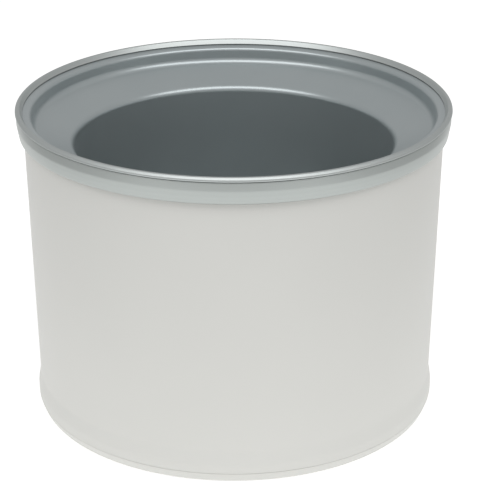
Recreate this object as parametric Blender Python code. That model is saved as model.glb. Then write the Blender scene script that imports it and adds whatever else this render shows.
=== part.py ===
"""Double-walled freezer bowl: a drawn metal bowl sealed into a metal jacket that holds the freezing gel,
wrapped in foam, with a white moulded shell and base. Metres, +Z up, origin at the centre of the foot."""

import math

import bmesh
import bpy
from mathutils import Matrix, Vector

# Overall sizes
RIM_RADIUS = 0.0950
HEIGHT = 0.1396
SEGMENTS = 40
SMALL_SEGMENTS = 20
ARC_STEP = math.radians(24)

# Gaps that keep neighbouring solids apart
CLEARANCE = 0.0003
SEAM_GAP = 0.0004

# Closing ring: a rolled bead on top, and a leg and hook that clinch both flanges
BEAD_WIDTH = 0.0032
BEAD_HEIGHT = 0.0019
BEAD_INNER_SLOPE = 0.0013
BEAD_OUTER_SLOPE = 0.0010
BEAD_FILLET = 0.0005
BEAD_FOOT_FILLET = 0.0003
RING_WALL = 0.0006
RING_LEG_INSET = 0.0017
RING_HOOK = 0.0016

# Inner bowl
BOWL_WALL = 0.0010
FLANGE_DROP = 0.0024
FLANGE_SLOPE = 0.0006
RIM_BAND = 0.0068
RIM_EDGE_FILLET = 0.0020
STEP_DEPTH = 0.0072
STEP_DRAFT = 0.0006
STEP_FILLET = 0.0034
SHOULDER_WIDTH = 0.0176
SHOULDER_DROP = 0.0073
LIP_FILLET = 0.0035
BOWL_DRAFT = 0.0030
BOWL_CORNER = 0.0200

# Seal between the two flanges
SEAL_HEIGHT = 0.0004
SEAL_WIDTH = 0.0016

# Collar: the visible metal band between the closing ring and the shell
COLLAR_WALL = 0.0008
COLLAR_INSET = 0.0004
COLLAR_NOTCH = 0.0003
COLLAR_REACH = 0.0021
COLLAR_EDGE_FILLET = 0.0007
COLLAR_BELLY_DROP = 0.0038
COLLAR_TAPER = 0.0010
COLLAR_BELLY_FILLET = 0.0060
COLLAR_FOOT_FILLET = 0.0008

# Coolant jacket
JACKET_WALL = 0.0009
JACKET_LEDGE = 0.0015
JACKET_LEDGE_FILLET = 0.0008
JACKET_SHOULDER_DROP = 0.0072
JACKET_SHOULDER_FILLET = 0.0050
JACKET_CORNER = 0.0160
GEL_GAP = 0.0090
GEL_FLOOR_GAP = 0.0080
GEL_HEADSPACE = 0.0140

# Filling plug in the jacket's floor
PLUG_HOLE_RADIUS = 0.0050
PLUG_HEAD_RADIUS = 0.0080
PLUG_HEAD_HEIGHT = 0.0026
PLUG_HEAD_FILLET = 0.0007
PLUG_SLOT_WIDTH = 0.0016
PLUG_SLOT_DEPTH = 0.0010
PLUG_ROOM = 0.0016
WASHER_HEIGHT = 0.0008

# Outer shell
SHELL_STEP = 0.0020
SHELL_TAPER = 0.0028
SHELL_WALL = 0.0022
SHELL_EDGE_FILLET = 0.0005
SHELL_FLARE = 0.0013
SHELL_FLARE_HEIGHT = 0.0095
SHELL_FLARE_FILLET = 0.0120
SHELL_SKIRT = 0.0035
SHELL_SKIRT_FILLET = 0.0080
SHELL_SEAL_WIDTH = 0.0011
SHELL_SEAL_HEIGHT = 0.0014
BASE_JOINT = 0.0053

# Base cap and its drive socket
BASE_TOP_FILLET = 0.0009
BASE_EDGE_FILLET = 0.0026
BASE_LEDGE = 0.0005
BASE_EDGE_DRAFT = 0.0019
FOOT_WIDTH = 0.0040
FOOT_DRAFT = 0.0008
PANEL_RECESS = 0.0034
PANEL_WALL = 0.0020
SPIGOT_HEIGHT = 0.0056
SPIGOT_WALL = 0.0022
SOCKET_RADIUS = 0.0240
SOCKET_DEPTH = 0.0092
SOCKET_WALL = 0.0022
BOSS_WALL = 0.0080
BOSS_INSET = 0.0010
KEY_COUNT = 4
KEY_WIDTH = 0.0070
KEY_REACH = 0.0040
KEY_HEIGHT = 0.0044
RIB_COUNT = 12
RIB_WALL = 0.0014
RIB_INSET = 0.0012
RIB_OVERLAP = 0.0006

# Foam
FOAM_DISC_GAP = 0.0006
FOAM_HOLE_MARGIN = 0.0040
FOAM_TOP_MARGIN = 0.0016

# Heights of the rim, from the top down
BEAD_FOOT = HEIGHT - BEAD_HEIGHT
FLANGE_TOP = HEIGHT - FLANGE_DROP
JACKET_TOP = FLANGE_TOP - BOWL_WALL - SEAL_HEIGHT - 2 * CLEARANCE
COLLAR_TOP = BEAD_FOOT - COLLAR_NOTCH
COLLAR_FOOT = FLANGE_TOP - STEP_DEPTH - COLLAR_REACH
SHELL_TOP = COLLAR_FOOT - SEAM_GAP
LIP_TOP = FLANGE_TOP - STEP_DEPTH - SHOULDER_DROP

# Heights of the floors, from the foot up
SPIGOT_TOP = BASE_JOINT + SPIGOT_HEIGHT
PLUG_LOW = SOCKET_DEPTH + SOCKET_WALL + PLUG_ROOM
WASHER_LOW = PLUG_LOW + PLUG_HEAD_HEIGHT + CLEARANCE
JACKET_FLOOR = WASHER_LOW + WASHER_HEIGHT + CLEARANCE
BOWL_FLOOR = JACKET_FLOOR + JACKET_WALL + GEL_FLOOR_GAP + BOWL_WALL

# Radii, from the rim inwards
RING_LEG_RADIUS = RIM_RADIUS - RING_LEG_INSET
FLANGE_RADIUS = RING_LEG_RADIUS - RING_WALL - CLEARANCE
COLLAR_RADIUS = RIM_RADIUS - COLLAR_INSET
COLLAR_FOOT_RADIUS = COLLAR_RADIUS - COLLAR_TAPER
SHELL_RADIUS = COLLAR_FOOT_RADIUS - SHELL_STEP
NECK_RADIUS = RING_LEG_RADIUS - RING_WALL - RING_HOOK - CLEARANCE
STEP_RADIUS = RIM_RADIUS - RIM_BAND
BOWL_RADIUS = STEP_RADIUS - STEP_DRAFT - SHOULDER_WIDTH


def fillet(before, corner, after, radius):
    """Points of the arc that rounds a corner, no larger than its shorter side allows."""
    to_before = before - corner
    to_after = after - corner
    half = to_before.angle(to_after) / 2
    reach = min(radius / math.tan(half), 0.49 * to_before.length, 0.49 * to_after.length)
    radius = reach * math.tan(half)
    centre = corner + (to_before.normalized() + to_after.normalized()).normalized() * radius / math.sin(half)
    start = corner + to_before.normalized() * reach - centre
    end = corner + to_after.normalized() * reach - centre
    turn = math.atan2(start.x * end.y - start.y * end.x, start.dot(end))
    steps = max(1, math.ceil(abs(turn) / ARC_STEP))
    points = []
    for step in range(steps + 1):
        angle = turn * step / steps
        x = start.x * math.cos(angle) - start.y * math.sin(angle)
        y = start.x * math.sin(angle) + start.y * math.cos(angle)
        points.append(centre + Vector((x, y)))
    return points


def rounded(corners, closed=False):
    """Outline through (radius, height, fillet) corners, with each fillet as an arc."""
    count = len(corners)
    places = [Vector(corner[:2]) for corner in corners]
    points = []
    for index, (place, corner) in enumerate(zip(places, corners)):
        at_end = index in (0, count - 1) and not closed
        if at_end or corner[2] == 0:
            points.append(place)
        else:
            points += fillet(places[index - 1], place, places[(index + 1) % count], corner[2])
    return points


def offset(corners, distance):
    """The same corners moved sideways, to the left of the direction of travel, with fillets to match."""
    places = [Vector(corner[:2]) for corner in corners]
    sides = [(end - start).normalized() for start, end in zip(places, places[1:])]
    normals = [Vector((-side.y, side.x)) for side in sides]
    moved = []
    for index, (place, corner) in enumerate(zip(places, corners)):
        before = normals[max(index - 1, 0)]
        after = normals[min(index, len(normals) - 1)]
        shift = (before + after) * distance / (1 + before.dot(after))
        bend = sides[max(index - 1, 0)].cross(sides[min(index, len(sides) - 1)])
        radius = corner[2] - math.copysign(distance, bend) if corner[2] else 0
        moved.append((place.x + shift.x, place.y + shift.y, max(radius, 0)))
    return moved


def sheet(corners, wall):
    """Closed outline of a sheet of even thickness along a line of corners."""
    return rounded(corners) + rounded(offset(corners, wall))[::-1]


def material(name, colour, roughness, metallic):
    made = bpy.data.materials.new(name)
    made.use_nodes = True
    shader = made.node_tree.nodes["Principled BSDF"]
    shader.inputs["Base Color"].default_value = (*colour, 1)
    shader.inputs["Roughness"].default_value = roughness
    shader.inputs["Metallic"].default_value = metallic
    made.diffuse_color = (*colour, 1)
    return made


def turned(name, outline, finish, segments=SEGMENTS):
    """Solid of revolution about +Z from a closed outline, or from one that starts and ends on the axis."""
    mesh = bmesh.new()
    points = [mesh.verts.new((point.x, 0, point.y)) for point in outline]
    for start, end in zip(points, points[1:]):
        mesh.edges.new((start, end))
    if outline[0].x > 0 or outline[-1].x > 0:
        mesh.edges.new((points[-1], points[0]))
    bmesh.ops.spin(
        mesh,
        geom=mesh.verts[:] + mesh.edges[:],
        cent=(0, 0, 0),
        axis=(0, 0, 1),
        angle=math.tau,
        steps=segments,
        use_merge=True,
    )
    bmesh.ops.remove_doubles(mesh, verts=mesh.verts[:], dist=1e-6)
    bmesh.ops.recalc_face_normals(mesh, faces=mesh.faces[:])
    return piece(name, mesh, finish)


def piece(name, mesh, finish):
    data = bpy.data.meshes.new(name)
    mesh.to_mesh(data)
    mesh.free()
    data.materials.append(finish)
    data.shade_smooth()
    data.set_sharp_from_angle(angle=math.radians(35))
    made = bpy.data.objects.new(name, data)
    bpy.context.scene.collection.objects.link(made)
    return made


def blocks(name, sizes, count, turn, finish):
    """Helper solid: equal boxes set round the axis. sizes are (near, far, width, low, high)."""
    near, far, width, low, high = sizes
    mesh = bmesh.new()
    for index in range(count):
        place = Matrix.Rotation(turn + math.tau * index / count, 4, "Z")
        place @= Matrix.Translation(((near + far) / 2, 0, (low + high) / 2))
        place @= Matrix.Diagonal((far - near, width, high - low, 1))
        bmesh.ops.create_cube(mesh, size=1, matrix=place)
    made = piece(name, mesh, finish)
    made.hide_render = True
    made.display_type = "WIRE"
    return made


def combine(target, tool, operation):
    change = target.modifiers.new(tool.name, "BOOLEAN")
    change.operation = operation
    change.object = tool
    change.solver = "EXACT"


def bowl_radius(height):
    """Inside radius of the bowl's tapered wall."""
    return BOWL_RADIUS - BOWL_DRAFT * (LIP_TOP - height) / (LIP_TOP - BOWL_FLOOR)


def jacket_radius(height):
    """Outside radius of the jacket's wall, which keeps an even gap for the gel."""
    return bowl_radius(height) + BOWL_WALL + GEL_GAP + JACKET_WALL


def shell_radius(height):
    """Outside radius of the shell's tapered wall."""
    return SHELL_RADIUS - SHELL_TAPER * (SHELL_TOP - height) / (SHELL_TOP - BASE_JOINT)


def spigot_radius():
    """Outside radius of the base cap's spigot, which slides into the shell."""
    return shell_radius(BASE_JOINT) - SHELL_WALL - CLEARANCE


def bowl_corners():
    """Inside of the bowl, from the middle of its floor up and out to the edge of its flange."""
    return [
        (0, BOWL_FLOOR, 0),
        (bowl_radius(BOWL_FLOOR), BOWL_FLOOR, BOWL_CORNER),
        (BOWL_RADIUS, LIP_TOP, LIP_FILLET),
        (STEP_RADIUS - STEP_DRAFT, FLANGE_TOP - STEP_DEPTH, STEP_FILLET),
        (STEP_RADIUS, FLANGE_TOP - FLANGE_SLOPE, RIM_EDGE_FILLET),
        (RIM_RADIUS - BEAD_WIDTH, FLANGE_TOP, 0),
        (FLANGE_RADIUS, FLANGE_TOP, 0),
    ]


def jacket_corners():
    """Outside of the jacket, from its plug hole out and up to the edge of its flange."""
    shoulder_foot = COLLAR_FOOT - JACKET_SHOULDER_DROP
    ledge = COLLAR_FOOT + CLEARANCE
    return [
        (PLUG_HOLE_RADIUS, JACKET_FLOOR, 0),
        (jacket_radius(JACKET_FLOOR), JACKET_FLOOR, JACKET_CORNER),
        (jacket_radius(shoulder_foot), shoulder_foot, JACKET_SHOULDER_FILLET),
        (NECK_RADIUS - JACKET_LEDGE, ledge, JACKET_LEDGE_FILLET),
        (NECK_RADIUS, ledge, JACKET_LEDGE_FILLET),
        (NECK_RADIUS, JACKET_TOP - JACKET_WALL, 0),
        (FLANGE_RADIUS, JACKET_TOP - JACKET_WALL, 0),
    ]


def band(name, inside, outside, low, high, finish, segments=SEGMENTS):
    """Plain ring of rectangular section."""
    corners = [(inside, low, 0), (outside, low, 0), (outside, high, 0), (inside, high, 0)]
    return turned(name, rounded(corners, closed=True), finish, segments)


def make_inner_bowl(finish):
    return turned("inner_bowl", sheet(bowl_corners(), -BOWL_WALL), finish)


def make_closing_ring(finish):
    """Bead that sits on the bowl's flange, with a leg round both flanges and a hook under the jacket's."""
    bead_inside = RIM_RADIUS - BEAD_WIDTH
    seat = FLANGE_TOP + CLEARANCE
    hook_top = JACKET_TOP - JACKET_WALL - CLEARANCE
    leg_inside = RING_LEG_RADIUS - RING_WALL
    outline = [
        (bead_inside, seat, 0),
        (bead_inside + BEAD_INNER_SLOPE, HEIGHT, BEAD_FILLET),
        (RIM_RADIUS - BEAD_OUTER_SLOPE, HEIGHT, BEAD_FILLET),
        (RIM_RADIUS, HEIGHT - BEAD_OUTER_SLOPE, BEAD_FILLET),
        (RIM_RADIUS, BEAD_FOOT, BEAD_FOOT_FILLET),
        (RING_LEG_RADIUS, BEAD_FOOT, 0),
        (RING_LEG_RADIUS, hook_top - RING_WALL, RING_WALL / 2),
        (leg_inside - RING_HOOK, hook_top - RING_WALL, 0),
        (leg_inside - RING_HOOK, hook_top, 0),
        (leg_inside, hook_top, 0),
        (leg_inside, seat, 0),
    ]
    return turned("closing_ring", rounded(outline, closed=True), finish)


def make_rim_seal(finish):
    """Flat seal between the bowl's flange and the jacket's."""
    low = JACKET_TOP + CLEARANCE
    return band("rim_seal", FLANGE_RADIUS - SEAL_WIDTH, FLANGE_RADIUS, low, low + SEAL_HEIGHT, finish)


def make_collar(finish):
    """Metal band with a full belly, which tucks in over the top of the shell."""
    corners = [
        (NECK_RADIUS + CLEARANCE, COLLAR_FOOT, 0),
        (COLLAR_FOOT_RADIUS, COLLAR_FOOT, COLLAR_FOOT_FILLET),
        (COLLAR_RADIUS, COLLAR_TOP - COLLAR_BELLY_DROP, COLLAR_BELLY_FILLET),
        (COLLAR_RADIUS, COLLAR_TOP - COLLAR_EDGE_FILLET, 0),
    ]
    outside = rounded(corners)
    inside = rounded(offset(corners, COLLAR_WALL))
    edge = [
        (corners[-1][0], corners[-1][1], 0),
        (COLLAR_RADIUS, COLLAR_TOP, COLLAR_EDGE_FILLET),
        (COLLAR_RADIUS - COLLAR_WALL, COLLAR_TOP, 0),
    ]
    return turned("collar", outside + rounded(edge)[1:] + inside[::-1], finish)


def make_coolant_jacket(finish):
    return turned("coolant_jacket", sheet(jacket_corners(), JACKET_WALL), finish)


def make_freezing_gel(finish):
    """Frozen charge, which fills the space between bowl and jacket up to its level."""
    level = LIP_TOP - GEL_HEADSPACE
    bowl_line = [*bowl_corners()[:2], (bowl_radius(level), level, 0)]
    jacket_line = [*jacket_corners()[:2], (jacket_radius(level), level, 0)]
    bowl_side = offset(bowl_line, -BOWL_WALL - CLEARANCE)
    jacket_side = offset(jacket_line, JACKET_WALL + CLEARANCE)
    jacket_side[0] = (0, jacket_side[0][1], 0)
    return turned("freezing_gel", rounded(bowl_side) + rounded(jacket_side)[::-1], finish)


def make_fill_plug(finish):
    """Plug with a driver slot, screwed into the jacket's floor from below."""
    shank = PLUG_HOLE_RADIUS - CLEARANCE
    head_top = PLUG_LOW + PLUG_HEAD_HEIGHT
    outline = [
        (0, PLUG_LOW, 0),
        (PLUG_HEAD_RADIUS, PLUG_LOW, PLUG_HEAD_FILLET),
        (PLUG_HEAD_RADIUS, head_top, 0),
        (shank, head_top, 0),
        (shank, JACKET_FLOOR + JACKET_WALL, 0),
        (0, JACKET_FLOOR + JACKET_WALL, 0),
    ]
    plug = turned("fill_plug", rounded(outline), finish, SMALL_SEGMENTS)
    reach = PLUG_HEAD_RADIUS + PLUG_SLOT_DEPTH
    slot_low = PLUG_LOW - PLUG_SLOT_DEPTH
    slot_sizes = (-reach, reach, PLUG_SLOT_WIDTH, slot_low, PLUG_LOW + PLUG_SLOT_DEPTH)
    combine(plug, blocks("plug_slot_cutter", slot_sizes, 1, 0, finish), "DIFFERENCE")
    return plug


def make_plug_washer(finish):
    high = WASHER_LOW + WASHER_HEIGHT
    return band("plug_washer", PLUG_HOLE_RADIUS, PLUG_HEAD_RADIUS, WASHER_LOW, high, finish, SMALL_SEGMENTS)


def make_outer_shell(finish):
    """Tapered white wall, with a rebate for its seal at the top and a slight flare at the foot."""
    flare_top = BASE_JOINT + SHELL_FLARE_HEIGHT
    skirt = shell_radius(BASE_JOINT) + SHELL_FLARE
    rebate = SHELL_RADIUS - SHELL_WALL + SHELL_SEAL_WIDTH + CLEARANCE
    outline = [
        (rebate, SHELL_TOP, 0),
        (SHELL_RADIUS, SHELL_TOP, SHELL_EDGE_FILLET),
        (shell_radius(flare_top), flare_top, SHELL_FLARE_FILLET),
        (skirt, BASE_JOINT + SHELL_SKIRT, SHELL_SKIRT_FILLET),
        (skirt, BASE_JOINT, 0),
        (shell_radius(BASE_JOINT) - SHELL_WALL, BASE_JOINT, 0),
        (SHELL_RADIUS - SHELL_WALL, SHELL_TOP - SHELL_SEAL_HEIGHT - CLEARANCE, 0),
        (rebate, SHELL_TOP - SHELL_SEAL_HEIGHT - CLEARANCE, 0),
    ]
    return turned("outer_shell", rounded(outline, closed=True), finish)


def make_shell_seal(finish):
    """Soft ring in the shell's rebate, pressed up against the jacket's ledge."""
    inside = SHELL_RADIUS - SHELL_WALL
    outside = inside + SHELL_SEAL_WIDTH
    return band("shell_seal", inside, outside, SHELL_TOP - SHELL_SEAL_HEIGHT, COLLAR_FOOT, finish)


def make_base_cap(finish):
    """Base with a foot ring, a spigot inside the shell, ribs, and a keyed socket that turns the bowl."""
    joint = BASE_JOINT - CLEARANCE
    outside = shell_radius(BASE_JOINT) + SHELL_FLARE + BASE_LEDGE
    foot = outside - BASE_EDGE_DRAFT
    foot_inside = foot - FOOT_WIDTH
    recess = foot_inside - FOOT_DRAFT
    spigot_inside = spigot_radius() - SPIGOT_WALL
    panel_top = PANEL_RECESS + PANEL_WALL
    boss = SOCKET_RADIUS + BOSS_WALL
    well = SOCKET_RADIUS + SOCKET_WALL
    outline = [
        (0, SOCKET_DEPTH, 0),
        (SOCKET_RADIUS, SOCKET_DEPTH, 0),
        (SOCKET_RADIUS, BOSS_INSET, 0),
        (boss, BOSS_INSET, 0),
        (boss, PANEL_RECESS, 0),
        (recess, PANEL_RECESS, 0),
        (foot_inside, 0, 0),
        (foot, 0, BASE_EDGE_FILLET),
        (outside, joint, BASE_TOP_FILLET),
        (spigot_radius(), joint, 0),
        (spigot_radius(), SPIGOT_TOP, 0),
        (spigot_inside, SPIGOT_TOP, 0),
        (spigot_inside, panel_top, 0),
        (well, panel_top, 0),
        (well, SOCKET_DEPTH + SOCKET_WALL, 0),
        (0, SOCKET_DEPTH + SOCKET_WALL, 0),
    ]
    cap = turned("base_cap", rounded(outline), finish)
    rib_sizes = (boss - RIB_OVERLAP, recess + RIB_OVERLAP, RIB_WALL, RIB_INSET, PANEL_RECESS + RIB_OVERLAP)
    combine(cap, blocks("base_ribs", rib_sizes, RIB_COUNT, math.pi / RIB_COUNT, finish), "UNION")
    key_near = SOCKET_RADIUS - KEY_REACH
    key_sizes = (key_near, SOCKET_RADIUS + KEY_REACH, KEY_WIDTH, -BOSS_INSET, KEY_HEIGHT)
    combine(cap, blocks("key_slot_cutter", key_sizes, KEY_COUNT, 0, finish), "DIFFERENCE")
    return cap


def make_insulation_disc(finish):
    """Foam under the jacket, with a hole round the plug and the socket's well."""
    low = PANEL_RECESS + PANEL_WALL + CLEARANCE
    inside = SOCKET_RADIUS + SOCKET_WALL + FOAM_HOLE_MARGIN
    outside = spigot_radius() - SPIGOT_WALL - FOAM_DISC_GAP
    return band("insulation_disc", inside, outside, low, JACKET_FLOOR - CLEARANCE, finish)


def make_insulation_sleeve(finish):
    """Foam tube between the jacket's wall and the shell's, standing on the foam disc."""
    low = JACKET_FLOOR
    high = COLLAR_FOOT - JACKET_SHOULDER_DROP - FOAM_TOP_MARGIN
    shell_gap = SHELL_WALL + CLEARANCE
    outline = [
        (jacket_radius(low) + CLEARANCE, low, 0),
        (shell_radius(low) - shell_gap, low, 0),
        (shell_radius(high) - shell_gap, high, 0),
        (jacket_radius(high) + CLEARANCE, high, 0),
    ]
    return turned("insulation_sleeve", rounded(outline, closed=True), finish)


for old in list(bpy.data.objects):
    bpy.data.objects.remove(old)

satin_metal = material("satin_metal", (0.31, 0.34, 0.34), 0.38, 0.9)
rim_metal = material("rim_metal", (0.40, 0.43, 0.43), 0.32, 0.9)
white_plastic = material("white_plastic", (0.73, 0.73, 0.69), 0.45, 0)
seal_rubber = material("seal_rubber", (0.10, 0.10, 0.10), 0.7, 0)
blue_gel = material("blue_gel", (0.25, 0.48, 0.62), 0.25, 0)
foam = material("foam", (0.85, 0.84, 0.78), 0.9, 0)
plug_plastic = material("plug_plastic", (0.55, 0.56, 0.55), 0.5, 0)

make_inner_bowl(satin_metal)
make_closing_ring(rim_metal)
make_rim_seal(seal_rubber)
make_collar(rim_metal)
make_coolant_jacket(satin_metal)
make_freezing_gel(blue_gel)
make_fill_plug(plug_plastic)
make_plug_washer(seal_rubber)
make_outer_shell(white_plastic)
make_shell_seal(seal_rubber)
make_base_cap(white_plastic)
make_insulation_disc(foam)
make_insulation_sleeve(foam)
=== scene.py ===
"""Looks of the insulated freezer bowl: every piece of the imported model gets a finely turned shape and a
finish of its own, in the order in which the bowl is put together. Metres, +Z up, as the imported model."""

import math

import bmesh
import bpy
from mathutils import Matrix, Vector


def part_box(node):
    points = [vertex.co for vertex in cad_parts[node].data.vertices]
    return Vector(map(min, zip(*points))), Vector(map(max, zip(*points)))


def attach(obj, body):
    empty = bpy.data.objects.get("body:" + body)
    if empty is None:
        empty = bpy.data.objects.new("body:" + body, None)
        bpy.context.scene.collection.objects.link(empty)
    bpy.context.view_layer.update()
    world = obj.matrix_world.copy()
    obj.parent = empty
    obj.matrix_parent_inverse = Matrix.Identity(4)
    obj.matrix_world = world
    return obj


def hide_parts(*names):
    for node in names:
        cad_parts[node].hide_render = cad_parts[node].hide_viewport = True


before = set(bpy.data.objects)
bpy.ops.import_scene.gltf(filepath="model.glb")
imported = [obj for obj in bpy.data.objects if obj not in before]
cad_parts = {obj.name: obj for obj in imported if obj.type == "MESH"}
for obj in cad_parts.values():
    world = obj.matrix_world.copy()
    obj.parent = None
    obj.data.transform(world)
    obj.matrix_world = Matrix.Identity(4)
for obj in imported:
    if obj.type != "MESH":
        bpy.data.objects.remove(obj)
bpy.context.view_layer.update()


# ---------------------------------------------------------------------------------------------------------
# Inner bowl. Deep-drawn from one aluminium disc: a flat floor, a tapered wall, a rounded lip, a sloped
# shoulder that leads the mix back in, a short step, and a flange that the closing ring clinches.

HAIR = 0.000001
MILLIMETRE = 0.001
FACETS = 256
ARC_STEP = math.radians(5)
FILLET_SHARE = 0.49
CREASE_ANGLE = math.radians(32)
FINE_GRAIN = 0.0004

BOWL_WALL = 0.0010
FLANGE_SLOPE = 0.0006
FLANGE_FLAT = 0.0006
RIM_BAND = 0.0042
RIM_EDGE_FILLET = 0.0020
STEP_DEPTH = 0.0072
STEP_DRAFT = 0.0006
STEP_FILLET = 0.0034
SHOULDER_WIDTH = 0.0176
SHOULDER_DROP = 0.0073
LIP_FILLET = 0.0035
BOWL_DRAFT = 0.0030
BOWL_CORNER = 0.0200
BOWL_CLOUDS = 0.0300
ETCH_DEPTH = 0.00005


def fillet(before, corner, after, radius):
    """Points of the arc that rounds a corner, no larger than its shorter side allows."""
    to_before = before - corner
    to_after = after - corner
    half = to_before.angle(to_after) / 2
    longest = FILLET_SHARE * min(to_before.length, to_after.length)
    reach = min(radius / math.tan(half), longest)
    radius = reach * math.tan(half)
    centre = corner + (to_before.normalized() + to_after.normalized()).normalized() * radius / math.sin(half)
    start = corner + to_before.normalized() * reach - centre
    end = corner + to_after.normalized() * reach - centre
    turn = math.atan2(start.x * end.y - start.y * end.x, start.dot(end))
    steps = max(1, math.ceil(abs(turn) / ARC_STEP))
    points = []
    for step in range(steps + 1):
        angle = turn * step / steps
        x = start.x * math.cos(angle) - start.y * math.sin(angle)
        y = start.x * math.sin(angle) + start.y * math.cos(angle)
        points.append(centre + Vector((x, y)))
    return points


def rounded(corners, closed=False):
    """Outline through (radius, height, fillet) corners, with each fillet as an arc."""
    count = len(corners)
    places = [Vector(corner[:2]) for corner in corners]
    points = []
    for index, (place, corner) in enumerate(zip(places, corners)):
        at_end = index in (0, count - 1) and not closed
        if at_end or corner[2] == 0:
            points.append(place)
        else:
            points += fillet(places[index - 1], place, places[(index + 1) % count], corner[2])
    return points


def offset(corners, distance):
    """The same corners moved sideways, to the left of the direction of travel, with fillets to match."""
    places = [Vector(corner[:2]) for corner in corners]
    sides = [(end - start).normalized() for start, end in zip(places, places[1:])]
    normals = [Vector((-side.y, side.x)) for side in sides]
    moved = []
    for index, (place, corner) in enumerate(zip(places, corners)):
        before = normals[max(index - 1, 0)]
        after = normals[min(index, len(normals) - 1)]
        shift = (before + after) * distance / (1 + before.dot(after))
        bend = sides[max(index - 1, 0)].cross(sides[min(index, len(sides) - 1)])
        radius = corner[2] - math.copysign(distance, bend) if corner[2] else 0
        moved.append((place.x + shift.x, place.y + shift.y, max(radius, 0)))
    return moved


def sheet(corners, wall):
    """Closed outline of a sheet of even thickness along a line of corners."""
    return rounded(corners) + rounded(offset(corners, wall))[::-1]


def add(tree, kind, settings=None, inputs=None):
    """Adds a node, with its properties, and its inputs as plain values or as links from other sockets."""
    node = tree.nodes.new(kind)
    for name, value in (settings or {}).items():
        setattr(node, name, value)
    for name, value in (inputs or {}).items():
        if isinstance(value, bpy.types.NodeSocket):
            tree.links.new(value, node.inputs[name])
        else:
            node.inputs[name].default_value = value
    return node


def new_tree(name, inputs):
    """Geometry node tree with a geometry input and output, and the named inputs."""
    tree = bpy.data.node_groups.new(name, "GeometryNodeTree")
    tree.interface.new_socket("Geometry", in_out="INPUT", socket_type="NodeSocketGeometry")
    for label, kind in inputs.items():
        tree.interface.new_socket(label, in_out="INPUT", socket_type=kind)
    tree.interface.new_socket("Geometry", in_out="OUTPUT", socket_type="NodeSocketGeometry")
    return tree


def grow(obj, tree, values):
    """Runs a geometry node tree on an object, and keeps what it makes as a plain closed mesh."""
    modifier = obj.modifiers.new(tree.name, "NODES")
    modifier.node_group = tree
    for socket in tree.interface.items_tree:
        if socket.in_out == "INPUT" and socket.name in values:
            modifier[socket.identifier] = values[socket.name]
    return settle(obj)


def settle(obj):
    """Makes an object's modifiers real, closes its seams and poles, and turns its faces outwards."""
    graph = bpy.context.evaluated_depsgraph_get()
    made = bpy.data.meshes.new_from_object(obj.evaluated_get(graph))
    obj.modifiers.clear()
    obj.data = made
    mesh = bmesh.new()
    mesh.from_mesh(made)
    bmesh.ops.remove_doubles(mesh, verts=mesh.verts[:], dist=HAIR)
    bmesh.ops.recalc_face_normals(mesh, faces=mesh.faces[:])
    mesh.to_mesh(made)
    mesh.free()
    made.shade_smooth()
    made.set_sharp_from_angle(angle=CREASE_ANGLE)
    return obj


# The outline stands in the plane of X and Z. It is swept along a small guide circle round the axis.
lathe = new_tree(
    "turn an outline round the axis",
    {"Facets": "NodeSocketInt", "Guide Radius": "NodeSocketFloat", "Finish": "NodeSocketMaterial"},
)
lathe_in = add(lathe, "NodeGroupInput")
lathe_profile = add(lathe, "GeometryNodeMeshToCurve", inputs={"Mesh": lathe_in.outputs["Geometry"]})
lathe_shift = add(
    lathe, "ShaderNodeMath", {"operation": "MULTIPLY"}, {0: lathe_in.outputs["Guide Radius"], 1: -1.0}
)
lathe_inward = add(lathe, "ShaderNodeCombineXYZ", inputs={"X": lathe_shift.outputs[0]})
lathe_laid = add(
    lathe,
    "GeometryNodeTransform",
    inputs={
        "Geometry": lathe_profile.outputs["Curve"],
        "Translation": lathe_inward.outputs[0],
        "Rotation": (math.radians(90), 0, 0),
    },
)
lathe_guide = add(
    lathe,
    "GeometryNodeCurvePrimitiveCircle",
    {"mode": "RADIUS"},
    {"Resolution": lathe_in.outputs["Facets"], "Radius": lathe_in.outputs["Guide Radius"]},
)
lathe_swept = add(
    lathe,
    "GeometryNodeCurveToMesh",
    inputs={"Curve": lathe_guide.outputs["Curve"], "Profile Curve": lathe_laid.outputs["Geometry"]},
)
lathe_merged = add(
    lathe, "GeometryNodeMergeByDistance", inputs={"Geometry": lathe_swept.outputs["Mesh"], "Distance": HAIR}
)
lathe_real = add(lathe, "GeometryNodeRealizeInstances", inputs={"Geometry": lathe_merged.outputs["Geometry"]})
lathe_done = add(
    lathe,
    "GeometryNodeSetMaterial",
    inputs={"Geometry": lathe_real.outputs["Geometry"], "Material": lathe_in.outputs["Finish"]},
)
add(lathe, "NodeGroupOutput", inputs={"Geometry": lathe_done.outputs["Geometry"]})


def turned(name, outline, finish, facets=FACETS):
    """Solid of revolution from a closed outline, or from one that starts and ends on the axis."""
    count = len(outline)
    edges = [(index, index + 1) for index in range(count - 1)]
    if outline[0].x > 0 or outline[-1].x > 0:
        edges.append((count - 1, 0))
    data = bpy.data.meshes.new(name)
    data.from_pydata([(point.x, 0, point.y) for point in outline], edges, [])
    made = bpy.data.objects.new(name, data)
    bpy.context.scene.collection.objects.link(made)
    return grow(made, lathe, {"Facets": facets, "Guide Radius": MILLIMETRE, "Finish": finish})


def fit(piece, node):
    """The piece stands for its solid and rides on the bowl, and the solid itself is hidden."""
    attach(piece, "root")
    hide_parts(node)


def linear(colour):
    """An sRGB hex colour as linear red, green, blue and alpha."""
    parts = [int(colour[index : index + 2], 16) / 255 for index in (1, 3, 5)]
    return [part / 12.92 if part <= 0.04045 else ((part + 0.055) / 1.055) ** 2.4 for part in parts] + [1]


def new_finish(name, settings):
    """Material with one Principled shader and its plain settings. Returns the material, tree and shader."""
    made = bpy.data.materials.new(name)
    made.use_nodes = True
    tree = made.node_tree
    shader = tree.nodes["Principled BSDF"]
    for socket, value in settings.items():
        shader.inputs[socket].default_value = value
    return made, tree, shader


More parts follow.
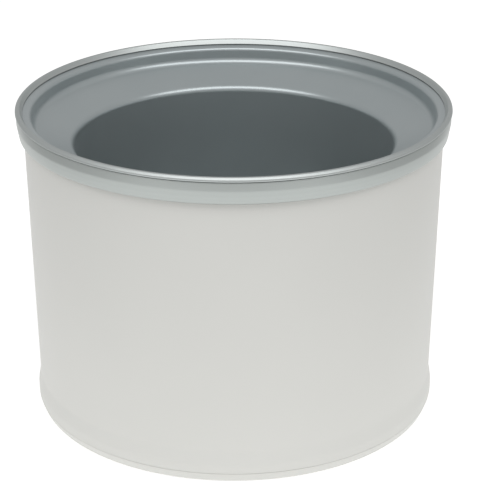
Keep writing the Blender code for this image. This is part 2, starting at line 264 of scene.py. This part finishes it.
def turning_lines(tree):
    """Uneven fine rings round the axis, as rolling and pressing leave them, as a texture value."""
    place = add(tree, "ShaderNodeTexCoord")
    parts = add(tree, "ShaderNodeSeparateXYZ", inputs={"Vector": place.outputs["Object"]})
    flat = add(tree, "ShaderNodeCombineXYZ", inputs={"X": parts.outputs["X"], "Y": parts.outputs["Y"]})
    radius = add(tree, "ShaderNodeVectorMath", {"operation": "LENGTH"}, {0: flat.outputs[0]})
    rings = add(tree, "ShaderNodeCombineXYZ", inputs={"X": radius.outputs["Value"], "Y": parts.outputs["Z"]})
    lines = add(
        tree,
        "ShaderNodeTexNoise",
        {"noise_dimensions": "2D"},
        {"Vector": rings.outputs[0], "Scale": 1 / FINE_GRAIN, "Detail": 2.0, "Roughness": 0.6},
    )
    return lines.outputs["Fac"]


def tint(tree, shader, pattern, dark, light):
    """Lets the finish's colour follow a pattern, between two hex colours."""
    # Of the Mix node's sockets, 0 is the factor, 6 and 7 are the two colours, and output 2 is their mixture.
    mixed = add(tree, "ShaderNodeMix", {"data_type": "RGBA"}, {0: pattern})
    mixed.inputs[6].default_value = linear(dark)
    mixed.inputs[7].default_value = linear(light)
    tree.links.new(mixed.outputs[2], shader.inputs["Base Color"])


def roughen(tree, shader, pattern, smooth, rough):
    """Lets the finish's roughness follow a pattern, between two values."""
    spread = add(tree, "ShaderNodeMapRange", inputs={"Value": pattern, "To Min": smooth, "To Max": rough})
    tree.links.new(spread.outputs["Result"], shader.inputs["Roughness"])


def emboss(tree, shader, pattern, strength, depth):
    """Raises a pattern as a fine relief on the finish. depth is in metres."""
    relief = add(tree, "ShaderNodeBump", inputs={"Strength": strength, "Distance": depth, "Height": pattern})
    tree.links.new(relief.outputs["Normal"], shader.inputs["Normal"])


# Satin anodised aluminium: a fine even etched grain, about 0.1 mm and drawn here at 0.4 mm, that blurs every
# reflection. The oxide film dulls the metal to a cool, darker grey.
bowl_finish, tree, shader = new_finish("satin_anodised_aluminium", {"Metallic": 0.74})
place = add(tree, "ShaderNodeTexCoord").outputs["Object"]
clouds = add(tree, "ShaderNodeTexNoise", inputs={"Vector": place, "Scale": 1 / BOWL_CLOUDS, "Detail": 3.0})
etch = add(tree, "ShaderNodeTexNoise", inputs={"Vector": place, "Scale": 1 / FINE_GRAIN, "Detail": 2.0})
tint(tree, shader, clouds.outputs["Fac"], "#adb5b7", "#b5bcbd")
roughen(tree, shader, etch.outputs["Fac"], 0.26, 0.36)
emboss(tree, shader, etch.outputs["Fac"], 0.10, ETCH_DEPTH)

bowl_low, bowl_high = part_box("inner_bowl")
ring_low, ring_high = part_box("closing_ring")
flange_radius = bowl_high.x
flange_top = bowl_high.z
bead_inside = flange_radius - FLANGE_FLAT
step_radius = flange_radius - RIM_BAND
lip_radius = step_radius - STEP_DRAFT - SHOULDER_WIDTH
lip_top = flange_top - STEP_DEPTH - SHOULDER_DROP
bowl_floor = bowl_low.z + BOWL_WALL


def bowl_radius(height):
    """Inside radius of the bowl's tapered wall."""
    return lip_radius - BOWL_DRAFT * (lip_top - height) / (lip_top - bowl_floor)


bowl_line = [
    (0, bowl_floor, 0),
    (bowl_radius(bowl_floor), bowl_floor, BOWL_CORNER),
    (lip_radius, lip_top, LIP_FILLET),
    (step_radius - STEP_DRAFT, flange_top - STEP_DEPTH, STEP_FILLET),
    (step_radius, flange_top - FLANGE_SLOPE, RIM_EDGE_FILLET),
    (bead_inside, flange_top, 0),
    (flange_radius, flange_top, 0),
]
bowl = turned("drawn_bowl", sheet(bowl_line, -BOWL_WALL), bowl_finish)
fit(bowl, "inner_bowl")


# ---------------------------------------------------------------------------------------------------------
# Closing ring. Roll-formed aluminium strip: its rounded bead is the bowl's rim, its leg goes round the
# flanges of bowl and jacket, and its hook is clinched under them. Pieces that touch are kept GAP apart.

BEAD_HEIGHT = 0.0019
BEAD_INNER_SLOPE = 0.0013
BEAD_OUTER_SLOPE = 0.0010
BEAD_FILLET = 0.0009
BEAD_FOOT_FILLET = 0.0003
RING_WALL = 0.0006
RING_LEG_INSET = 0.0017
RING_HOOK = 0.0016
GAP = 0.0003

# Satin rolled aluminium: bare metal, brighter than the bowl, whose highlights are drawn out along faint roll
# marks. The real marks are about 0.1 mm apart, drawn here at 0.4 mm.
ring_finish, tree, shader = new_finish("satin_rolled_aluminium", {"Metallic": 1.0})
roll_marks = turning_lines(tree)
tint(tree, shader, roll_marks, "#bdc2c1", "#c6cbca")
roughen(tree, shader, roll_marks, 0.38, 0.48)

ring_radius = ring_high.x
rim_top = ring_high.z
leg_radius = ring_radius - RING_LEG_INSET
leg_inside = leg_radius - RING_WALL
hook_radius = leg_inside - RING_HOOK
ring_seat = flange_top + GAP
ring_outline = [
    (bead_inside, ring_seat, 0),
    (bead_inside + BEAD_INNER_SLOPE, rim_top, BEAD_FILLET),
    (ring_radius - BEAD_OUTER_SLOPE, rim_top, BEAD_FILLET),
    (ring_radius, rim_top - BEAD_OUTER_SLOPE, BEAD_FILLET),
    (ring_radius, rim_top - BEAD_HEIGHT, BEAD_FOOT_FILLET),
    (leg_radius, rim_top - BEAD_HEIGHT, 0),
    (leg_radius, ring_low.z, RING_WALL / 2),
    (hook_radius, ring_low.z, 0),
    (hook_radius, ring_low.z + RING_WALL, 0),
    (leg_inside, ring_low.z + RING_WALL, 0),
    (leg_inside, ring_seat, 0),
]
ring = turned("rolled_closing_ring", rounded(ring_outline, closed=True), ring_finish)
fit(ring, "closing_ring")


# ---------------------------------------------------------------------------------------------------------
# Seals. Cut rings of black nitrile rubber: one between the two flanges, one under the head of the filling
# plug, and one between the jacket's ledge and the top edge of the shell.

SEALS = (
    # name, solid, width
    ("flange_seal_ring", "rim_seal", 0.0016),
    ("plug_seal_ring", "plug_washer", 0.0030),
    ("shell_seal_ring", "shell_seal", 0.0011),
)
SEAL_FILLET = 0.0001
RUBBER_MOTTLE = 0.0012
RUBBER_GRAIN_DEPTH = 0.0001

# Nitrile rubber: matt black, with the faint mottle and grain of a pressed sheet.
seal_finish, tree, shader = new_finish("black_nitrile_rubber", {"Roughness": 0.75})
place = add(tree, "ShaderNodeTexCoord").outputs["Object"]
mottle = add(tree, "ShaderNodeTexNoise", inputs={"Vector": place, "Scale": 1 / RUBBER_MOTTLE, "Detail": 3.0})
tint(tree, shader, mottle.outputs["Fac"], "#1b1c1d", "#2b2c2e")
emboss(tree, shader, mottle.outputs["Fac"], 0.3, RUBBER_GRAIN_DEPTH)

for name, node, width in SEALS:
    low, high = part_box(node)
    seal_outline = [
        (high.x - width, low.z, SEAL_FILLET),
        (high.x, low.z, SEAL_FILLET),
        (high.x, high.z, SEAL_FILLET),
        (high.x - width, high.z, SEAL_FILLET),
    ]
    fit(turned(name, rounded(seal_outline, closed=True), seal_finish), node)


# ---------------------------------------------------------------------------------------------------------
# Collar. Pressed aluminium band with a full belly: it dresses the neck between the closing ring and the
# shell, and tucks in over the shell's top edge.

COLLAR_WALL = 0.0008
COLLAR_TAPER = 0.0010
COLLAR_BELLY_DROP = 0.0038
COLLAR_BELLY_FILLET = 0.0060
COLLAR_FOOT_FILLET = 0.0008
COLLAR_EDGE_FILLET = 0.0007

# Satin pressed aluminium: a soft sheen, a little darker than the ring, with the same fine lengthwise lines.
collar_finish, tree, shader = new_finish("satin_pressed_aluminium", {"Metallic": 1.0})
press_marks = turning_lines(tree)
tint(tree, shader, press_marks, "#adb2b0", "#b8bdbb")
roughen(tree, shader, press_marks, 0.34, 0.44)

collar_low, collar_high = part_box("collar")
collar_radius = collar_high.x
foot_radius = collar_radius - COLLAR_TAPER
collar_line = [
    (hook_radius, collar_low.z, 0),
    (foot_radius, collar_low.z, COLLAR_FOOT_FILLET),
    (collar_radius, collar_high.z - COLLAR_BELLY_DROP, COLLAR_BELLY_FILLET),
    (collar_radius, collar_high.z - COLLAR_EDGE_FILLET, 0),
]
collar_edge = [
    (collar_radius, collar_high.z - COLLAR_EDGE_FILLET, 0),
    (collar_radius, collar_high.z, COLLAR_EDGE_FILLET),
    (collar_radius - COLLAR_WALL, collar_high.z, 0),
]
collar_outside = rounded(collar_line) + rounded(collar_edge)[1:]
collar_inside = rounded(offset(collar_line, COLLAR_WALL))[::-1]
collar = turned("pressed_collar", collar_outside + collar_inside, collar_finish)
fit(collar, "collar")


# ---------------------------------------------------------------------------------------------------------
# Outer shell. Injection-moulded white polypropylene: a tapered wall with a slight flare at the foot, which
# stands on the base, and a rebate inside its top edge for the soft seal.

SHELL_WALL = 0.0022
SHELL_TAPER = 0.0028
SHELL_EDGE_FILLET = 0.0005
SHELL_FLARE = 0.0013
SHELL_FLARE_HEIGHT = 0.0095
SHELL_FLARE_FILLET = 0.0120
SHELL_SKIRT = 0.0035
SHELL_SKIRT_FILLET = 0.0080
SHELL_REBATE_WIDTH = 0.0014
SHELL_REBATE_HEIGHT = 0.0017
PLASTIC_FLOW = 0.0600
MOULD_GRAIN_DEPTH = 0.00005

# White moulded polypropylene: a finely spark-eroded mould leaves a satin skin, with barely visible clouding
# from the flow of the plastic. The real grain is about 0.1 mm, drawn here at 0.4 mm.
shell_finish, tree, shader = new_finish("white_moulded_polypropylene", {"IOR": 1.49})
place = add(tree, "ShaderNodeTexCoord").outputs["Object"]
flow = add(tree, "ShaderNodeTexNoise", inputs={"Vector": place, "Scale": 1 / PLASTIC_FLOW, "Detail": 2.0})
grain = add(tree, "ShaderNodeTexNoise", inputs={"Vector": place, "Scale": 1 / FINE_GRAIN, "Detail": 2.0})
tint(tree, shader, flow.outputs["Fac"], "#d3d3cf", "#d7d7d3")
roughen(tree, shader, grain.outputs["Fac"], 0.40, 0.52)
emboss(tree, shader, grain.outputs["Fac"], 0.08, MOULD_GRAIN_DEPTH)

shell_low, shell_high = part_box("outer_shell")
shell_edge_radius = shell_high.x


def shell_radius(height):
    """Outside radius of the shell's tapered wall."""
    return shell_edge_radius - SHELL_TAPER * (shell_high.z - height) / (shell_high.z - shell_low.z)


flare_top = shell_low.z + SHELL_FLARE_HEIGHT
skirt_radius = shell_radius(shell_low.z) + SHELL_FLARE
shell_foot = shell_low.z - GAP
rebate_radius = shell_edge_radius - SHELL_WALL + SHELL_REBATE_WIDTH
rebate_foot = shell_high.z - SHELL_REBATE_HEIGHT
shell_outline = [
    (rebate_radius, shell_high.z, 0),
    (shell_edge_radius, shell_high.z, SHELL_EDGE_FILLET),
    (shell_radius(flare_top), flare_top, SHELL_FLARE_FILLET),
    (skirt_radius, shell_low.z + SHELL_SKIRT, SHELL_SKIRT_FILLET),
    (skirt_radius, shell_foot, 0),
    (shell_radius(shell_low.z) - SHELL_WALL, shell_foot, 0),
    (shell_edge_radius - SHELL_WALL, rebate_foot, 0),
    (rebate_radius, rebate_foot, 0),
]
shell = turned("moulded_shell", rounded(shell_outline, closed=True), shell_finish)
fit(shell, "outer_shell")


# ---------------------------------------------------------------------------------------------------------
# Coolant jacket. Deep-drawn aluminium vessel round the bowl, closed by the clinched flanges: it holds the
# gel, and its floor has the filling hole.

JACKET_WALL = 0.0009
JACKET_LEDGE = 0.0015
JACKET_LEDGE_FILLET = 0.0008
JACKET_SHOULDER_DROP = 0.0072
JACKET_SHOULDER_FILLET = 0.0050
JACKET_CORNER = 0.0160
GEL_GAP = 0.0090
PLUG_HOLE_RADIUS = 0.0050
STREAK_WIDTH = 0.0008
STREAK_PULL = 0.04

# Mill-finish drawn aluminium: bright grey with long faint streaks up the wall, where it slid over the die.
jacket_finish, tree, shader = new_finish("mill_finish_drawn_aluminium", {"Metallic": 1.0})
place = add(tree, "ShaderNodeTexCoord").outputs["Object"]
pulled = add(tree, "ShaderNodeMapping", inputs={"Vector": place, "Scale": (1.0, 1.0, STREAK_PULL)})
streaks = add(
    tree,
    "ShaderNodeTexNoise",
    inputs={"Vector": pulled.outputs["Vector"], "Scale": 1 / STREAK_WIDTH, "Detail": 3.0},
)
tint(tree, shader, streaks.outputs["Fac"], "#a3a8a9", "#b7bbbb")
roughen(tree, shader, streaks.outputs["Fac"], 0.34, 0.50)

jacket_low, jacket_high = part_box("coolant_jacket")
neck_radius = hook_radius - GAP
ledge = collar_low.z + GAP
shoulder_foot = collar_low.z - JACKET_SHOULDER_DROP
under_flange = jacket_high.z - JACKET_WALL


def jacket_radius(height):
    """Outside radius of the jacket's wall, which keeps an even gap for the gel."""
    return bowl_radius(height) + BOWL_WALL + GEL_GAP + JACKET_WALL


jacket_line = [
    (PLUG_HOLE_RADIUS, jacket_low.z, 0),
    (jacket_radius(jacket_low.z), jacket_low.z, JACKET_CORNER),
    (jacket_radius(shoulder_foot), shoulder_foot, JACKET_SHOULDER_FILLET),
    (neck_radius - JACKET_LEDGE, ledge, JACKET_LEDGE_FILLET),
    (neck_radius, ledge, JACKET_LEDGE_FILLET),
    (neck_radius, under_flange, 0),
    (jacket_high.x, under_flange, 0),
]
jacket = turned("drawn_jacket", sheet(jacket_line, JACKET_WALL), jacket_finish)
fit(jacket, "coolant_jacket")


# ---------------------------------------------------------------------------------------------------------
# Freezing gel. Water and salts thickened with cellulose, poured in through the filling hole: it fills the
# space between bowl and jacket up to a level that leaves it room to swell.

GEL_HAZE = 0.0120
FROST_CRYSTAL = 0.0030
FROST_DEPTH = 0.0002

# Frozen gel: pale blue and cloudy, wet-looking, with frost crystals about 3 mm across inside it.
gel_finish, tree, shader = new_finish("frozen_blue_gel", {"Roughness": 0.22, "IOR": 1.34})
place = add(tree, "ShaderNodeTexCoord").outputs["Object"]
haze = add(tree, "ShaderNodeTexNoise", inputs={"Vector": place, "Scale": 1 / GEL_HAZE, "Detail": 4.0})
crystals = add(tree, "ShaderNodeTexVoronoi", inputs={"Vector": place, "Scale": 1 / FROST_CRYSTAL})
tint(tree, shader, haze.outputs["Fac"], "#7fb2cf", "#b5d7e6")
emboss(tree, shader, crystals.outputs["Distance"], 0.2, FROST_DEPTH)

gel_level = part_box("freezing_gel")[1].z
gel_inside = offset([*bowl_line[:2], (bowl_radius(gel_level), gel_level, 0)], -BOWL_WALL - GAP)
gel_outside = offset([*jacket_line[:2], (jacket_radius(gel_level), gel_level, 0)], JACKET_WALL + GAP)
gel_outside[0] = (0, gel_outside[0][1], 0)
gel = turned("gel_filling", rounded(gel_inside) + rounded(gel_outside)[::-1], gel_finish)
fit(gel, "freezing_gel")


# ---------------------------------------------------------------------------------------------------------
# Filling plug. Moulded grey nylon screw plug, turned in from below with a coin or a driver, on its seal.

PLUG_HEAD_RADIUS = 0.0080
PLUG_HEAD_HEIGHT = 0.0026
PLUG_HEAD_FILLET = 0.0007
PLUG_SLOT_WIDTH = 0.0016
PLUG_SLOT_DEPTH = 0.0010
PLUG_FACETS = 64

# Moulded nylon: mid grey, satin, with a fine even mould grain drawn at 0.4 mm.
plug_finish, tree, shader = new_finish("grey_moulded_nylon", {"IOR": 1.53})
place = add(tree, "ShaderNodeTexCoord").outputs["Object"]
grain = add(tree, "ShaderNodeTexNoise", inputs={"Vector": place, "Scale": 1 / FINE_GRAIN, "Detail": 2.0})
tint(tree, shader, grain.outputs["Fac"], "#bfc1c0", "#c9cbca")
roughen(tree, shader, grain.outputs["Fac"], 0.42, 0.55)

# Bars set round the axis: the slot's cutter here, and the ribs and key slots of the base below.
spokes = new_tree(
    "bars round the axis",
    {
        "Count": "NodeSocketInt",
        "Turn": "NodeSocketFloat",
        "Near": "NodeSocketFloat",
        "Far": "NodeSocketFloat",
        "Width": "NodeSocketFloat",
        "Low": "NodeSocketFloat",
        "High": "NodeSocketFloat",
        "Finish": "NodeSocketMaterial",
    },
)
spokes_in = add(spokes, "NodeGroupInput")


def calculated(operation, first, second):
    """A math node of the bars' tree, as its output socket."""
    return add(spokes, "ShaderNodeMath", {"operation": operation}, {0: first, 1: second}).outputs[0]


near, far = spokes_in.outputs["Near"], spokes_in.outputs["Far"]
low, high = spokes_in.outputs["Low"], spokes_in.outputs["High"]
bar_size = add(
    spokes,
    "ShaderNodeCombineXYZ",
    inputs={
        "X": calculated("SUBTRACT", far, near),
        "Y": spokes_in.outputs["Width"],
        "Z": calculated("SUBTRACT", high, low),
    },
)
bar_place = add(
    spokes,
    "ShaderNodeCombineXYZ",
    inputs={
        "X": calculated("MULTIPLY", calculated("ADD", near, far), 0.5),
        "Z": calculated("MULTIPLY", calculated("ADD", low, high), 0.5),
    },
)
bar = add(spokes, "GeometryNodeMeshCube", inputs={"Size": bar_size.outputs[0]})
bar_moved = add(
    spokes,
    "GeometryNodeTransform",
    inputs={"Geometry": bar.outputs["Mesh"], "Translation": bar_place.outputs[0]},
)
hub = add(spokes, "GeometryNodePoints", inputs={"Count": spokes_in.outputs["Count"]})
step_angle = calculated("DIVIDE", math.tau, spokes_in.outputs["Count"])
bar_index = add(spokes, "GeometryNodeInputIndex").outputs["Index"]
bar_angle = calculated("ADD", calculated("MULTIPLY", bar_index, step_angle), spokes_in.outputs["Turn"])
bar_turn = add(spokes, "ShaderNodeCombineXYZ", inputs={"Z": bar_angle})
bar_rotation = add(spokes, "FunctionNodeEulerToRotation", inputs={"Euler": bar_turn.outputs[0]})
bar_copies = add(
    spokes,
    "GeometryNodeInstanceOnPoints",
    inputs={
        "Points": hub.outputs["Points"],
        "Instance": bar_moved.outputs["Geometry"],
        "Rotation": bar_rotation.outputs[0],
    },
)
bars_real = add(spokes, "GeometryNodeRealizeInstances", inputs={"Geometry": bar_copies.outputs["Instances"]})
bars_done = add(
    spokes,
    "GeometryNodeSetMaterial",
    inputs={"Geometry": bars_real.outputs["Geometry"], "Material": spokes_in.outputs["Finish"]},
)
add(spokes, "NodeGroupOutput", inputs={"Geometry": bars_done.outputs["Geometry"]})


def join(target, operation, sizes, finish):
    """Adds bars to a piece, or cuts them out of it. sizes are the bars' named sizes."""
    helper = bpy.data.objects.new("bars", bpy.data.meshes.new("bars"))
    bpy.context.scene.collection.objects.link(helper)
    grow(helper, spokes, {**sizes, "Finish": finish})
    change = target.modifiers.new("bars", "BOOLEAN")
    change.operation = operation
    change.object = helper
    change.solver = "EXACT"
    settle(target)
    bpy.data.objects.remove(helper)


plug_low, plug_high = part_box("fill_plug")
head_top = plug_low.z + PLUG_HEAD_HEIGHT
shank_radius = PLUG_HOLE_RADIUS - GAP
plug_outline = [
    (0, plug_low.z, 0),
    (PLUG_HEAD_RADIUS, plug_low.z, PLUG_HEAD_FILLET),
    (PLUG_HEAD_RADIUS, head_top, 0),
    (shank_radius, head_top, 0),
    (shank_radius, plug_high.z, 0),
    (0, plug_high.z, 0),
]
plug = turned("moulded_fill_plug", rounded(plug_outline), plug_finish, PLUG_FACETS)
plug_slot = {
    "Count": 1,
    "Turn": 0.0,
    "Near": -PLUG_HEAD_RADIUS - PLUG_SLOT_DEPTH,
    "Far": PLUG_HEAD_RADIUS + PLUG_SLOT_DEPTH,
    "Width": PLUG_SLOT_WIDTH,
    "Low": plug_low.z - PLUG_SLOT_DEPTH,
    "High": plug_low.z + PLUG_SLOT_DEPTH,
}
join(plug, "DIFFERENCE", plug_slot, plug_finish)
fit(plug, "fill_plug")


# ---------------------------------------------------------------------------------------------------------
# Base cap. Moulded in the same white polypropylene: a rounded foot ring, a narrow ledge on which the shell
# stands, a spigot that snaps into the shell, stiffening ribs, and the keyed socket by which the appliance
# turns the bowl.

BASE_JOINT = 0.0050
BASE_TOP_FILLET = 0.0005
BASE_EDGE_FILLET = 0.0026
BASE_EDGE_DRAFT = 0.0019
FOOT_WIDTH = 0.0040
FOOT_DRAFT = 0.0008
PANEL_RECESS = 0.0034
PANEL_WALL = 0.0020
SPIGOT_WALL = 0.0022
SPIGOT_RISE = 0.0056
SOCKET_RADIUS = 0.0240
SOCKET_DEPTH = 0.0092
SOCKET_WALL = 0.0022
SOCKET_EDGE_FILLET = 0.0006
BOSS_WALL = 0.0080
BOSS_INSET = 0.0010
KEY_COUNT = 4
KEY_WIDTH = 0.0070
KEY_REACH = 0.0040
KEY_HEIGHT = 0.0044
RIB_COUNT = 12
RIB_WALL = 0.0014
RIB_INSET = 0.0012
RIB_OVERLAP = 0.0006

base_low, base_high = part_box("base_cap")
base_radius = base_high.x
foot_radius = base_radius - BASE_EDGE_DRAFT
foot_inside = foot_radius - FOOT_WIDTH
recess_radius = foot_inside - FOOT_DRAFT
spigot_radius = shell_radius(shell_low.z) - SHELL_WALL - GAP
spigot_inside = spigot_radius - SPIGOT_WALL
spigot_top = shell_low.z + SPIGOT_RISE
boss_radius = SOCKET_RADIUS + BOSS_WALL
well_radius = SOCKET_RADIUS + SOCKET_WALL
panel_top = PANEL_RECESS + PANEL_WALL
base_outline = [
    (0, SOCKET_DEPTH, 0),
    (SOCKET_RADIUS, SOCKET_DEPTH, 0),
    (SOCKET_RADIUS, BOSS_INSET, SOCKET_EDGE_FILLET),
    (boss_radius, BOSS_INSET, SOCKET_EDGE_FILLET),
    (boss_radius, PANEL_RECESS, 0),
    (recess_radius, PANEL_RECESS, 0),
    (foot_inside, base_low.z, SOCKET_EDGE_FILLET),
    (foot_radius, base_low.z, BASE_EDGE_FILLET),
    (base_radius, BASE_JOINT, BASE_TOP_FILLET),
    (spigot_radius, BASE_JOINT, 0),
    (spigot_radius, spigot_top, SOCKET_EDGE_FILLET),
    (spigot_inside, spigot_top, SOCKET_EDGE_FILLET),
    (spigot_inside, panel_top, 0),
    (well_radius, panel_top, 0),
    (well_radius, base_high.z, SOCKET_EDGE_FILLET),
    (0, base_high.z, 0),
]
base = turned("moulded_base", rounded(base_outline), shell_finish)
ribs = {
    "Count": RIB_COUNT,
    "Turn": math.pi / RIB_COUNT,
    "Near": boss_radius - RIB_OVERLAP,
    "Far": recess_radius + RIB_OVERLAP,
    "Width": RIB_WALL,
    "Low": RIB_INSET,
    "High": PANEL_RECESS + RIB_OVERLAP,
}
key_slots = {
    "Count": KEY_COUNT,
    "Turn": 0.0,
    "Near": SOCKET_RADIUS - KEY_REACH,
    "Far": SOCKET_RADIUS + KEY_REACH,
    "Width": KEY_WIDTH,
    "Low": -BOSS_INSET,
    "High": KEY_HEIGHT,
}
join(base, "UNION", ribs, shell_finish)
join(base, "DIFFERENCE", key_slots, shell_finish)
fit(base, "base_cap")


# ---------------------------------------------------------------------------------------------------------
# Foam. Moulded polystyrene: a disc under the jacket with a hole round the plug, and a sleeve round its wall,
# both dropped in before the base closes the shell.

FOAM_FILLET = 0.0008
FOAM_DISC_HOLE = 0.0302
FOAM_BEAD = 0.0035
FOAM_JOINT = 0.12
FOAM_JOINT_DEPTH = 0.0003

# Moulded polystyrene foam: off-white beads of about 3.5 mm pressed together, with fine dark joints.
foam_finish, tree, shader = new_finish("moulded_polystyrene_foam", {"Roughness": 0.85})
place = add(tree, "ShaderNodeTexCoord").outputs["Object"]
beads = add(
    tree,
    "ShaderNodeTexVoronoi",
    {"feature": "DISTANCE_TO_EDGE"},
    {"Vector": place, "Scale": 1 / FOAM_BEAD},
)
joints = add(tree, "ShaderNodeMapRange", inputs={"Value": beads.outputs["Distance"], "From Max": FOAM_JOINT})
tint(tree, shader, joints.outputs["Result"], "#cfcdc4", "#f0efe8")
emboss(tree, shader, joints.outputs["Result"], 0.5, FOAM_JOINT_DEPTH)

disc_low, disc_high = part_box("insulation_disc")
disc_outline = [
    (FOAM_DISC_HOLE, disc_low.z, FOAM_FILLET),
    (disc_high.x, disc_low.z, FOAM_FILLET),
    (disc_high.x, disc_high.z, FOAM_FILLET),
    (FOAM_DISC_HOLE, disc_high.z, FOAM_FILLET),
]
disc = turned("foam_disc", rounded(disc_outline, closed=True), foam_finish)
fit(disc, "insulation_disc")

sleeve_low, sleeve_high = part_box("insulation_sleeve")
sleeve_outline = [
    (jacket_radius(sleeve_low.z) + GAP, sleeve_low.z, FOAM_FILLET),
    (shell_radius(sleeve_low.z) - SHELL_WALL - GAP, sleeve_low.z, FOAM_FILLET),
    (shell_radius(sleeve_high.z) - SHELL_WALL - GAP, sleeve_high.z, FOAM_FILLET),
    (jacket_radius(sleeve_high.z) + GAP, sleeve_high.z, FOAM_FILLET),
]
sleeve = turned("foam_sleeve", rounded(sleeve_outline, closed=True), foam_finish)
fit(sleeve, "insulation_sleeve")


# ---------------------------------------------------------------------------------------------------------
# Floor. A plain flat sheet of white card under the bowl. It ends not far in front and at the sides, so that
# the metal reflects the softer tone of the room from beyond its edges.

CARD_HALF_WIDTH = 0.32
CARD_FRONT = -0.42
CARD_BACK = 0.95
CARD_GLOW = 0.55
CARD_FIBRE = 0.0020

# White card: matt, with a faint fibre mottle about 2 mm across. It is lit from below like a light table.
card, tree, shader = new_finish("white_card", {"Roughness": 0.9})
place = add(tree, "ShaderNodeTexCoord").outputs["Object"]
fibres = add(tree, "ShaderNodeTexNoise", inputs={"Vector": place, "Scale": 1 / CARD_FIBRE, "Detail": 2.0})
tint(tree, shader, fibres.outputs["Fac"], "#dcdcdb", "#e0e0df")
shader.inputs["Emission Color"].default_value = linear("#ffffff")
shader.inputs["Emission Strength"].default_value = CARD_GLOW

floor_corners = [
    (-CARD_HALF_WIDTH, CARD_FRONT, 0),
    (CARD_HALF_WIDTH, CARD_FRONT, 0),
    (CARD_HALF_WIDTH, CARD_BACK, 0),
    (-CARD_HALF_WIDTH, CARD_BACK, 0),
]
floor_data = bpy.data.meshes.new("card_floor")
floor_data.from_pydata(floor_corners, [], [(0, 1, 2, 3)])
floor_data.materials.append(card)
card_floor = bpy.data.objects.new("card_floor", floor_data)
bpy.context.scene.collection.objects.link(card_floor)


# ---------------------------------------------------------------------------------------------------------
# Light. A soft, even white room, with one large rectangular softbox high in front of the bowl, which draws
# the bright lines along the rim and the lip.

ROOM_LIGHT = 0.53
SOFTBOX_HEIGHT_ANGLE = math.radians(60)
SOFTBOX_DISTANCE = 1.6
SOFTBOX_WIDTH = 3.4
SOFTBOX_DEPTH = 0.80
SOFTBOX_WATTS = 16
LIGHT_TARGET = Vector((0, 0, 0.08))

world = bpy.data.worlds.new("soft_white_room")
world.use_nodes = True
background = world.node_tree.nodes["Background"]
background.inputs["Color"].default_value = linear("#ffffff")
background.inputs["Strength"].default_value = ROOM_LIGHT
bpy.context.scene.world = world

softbox_data = bpy.data.lights.new("front_softbox", "AREA")
softbox_data.shape = "RECTANGLE"
softbox_data.size = SOFTBOX_WIDTH
softbox_data.size_y = SOFTBOX_DEPTH
softbox_data.energy = SOFTBOX_WATTS
softbox = bpy.data.objects.new("front_softbox", softbox_data)
to_softbox = Vector((0, -math.cos(SOFTBOX_HEIGHT_ANGLE), math.sin(SOFTBOX_HEIGHT_ANGLE)))
softbox.location = LIGHT_TARGET + to_softbox * SOFTBOX_DISTANCE
softbox.rotation_euler = (-to_softbox).to_track_quat("-Z", "Y").to_euler()
bpy.context.scene.collection.objects.link(softbox)


# ---------------------------------------------------------------------------------------------------------
# Camera. A long lens that looks down on the rim from straight in front. It is turned half a degree to the
# right, so that the bowl stands a little to the left of the middle.

CAMERA_PLACE = (0.0, -0.776541, 0.400185)
CAMERA_PITCH = 23.114
CAMERA_YAW = 0.518
CAMERA_LENS = 134.88
SENSOR_WIDTH = 36

camera_data = bpy.data.cameras.new("camera")
camera_data.lens = CAMERA_LENS
camera_data.sensor_width = SENSOR_WIDTH
camera = bpy.data.objects.new("camera", camera_data)
camera.location = CAMERA_PLACE
camera.rotation_euler = (math.radians(90 - CAMERA_PITCH), 0, math.radians(-CAMERA_YAW))
bpy.context.scene.collection.objects.link(camera)
bpy.context.scene.camera = camera
bpy.context.scene.view_settings.view_transform = "Standard"
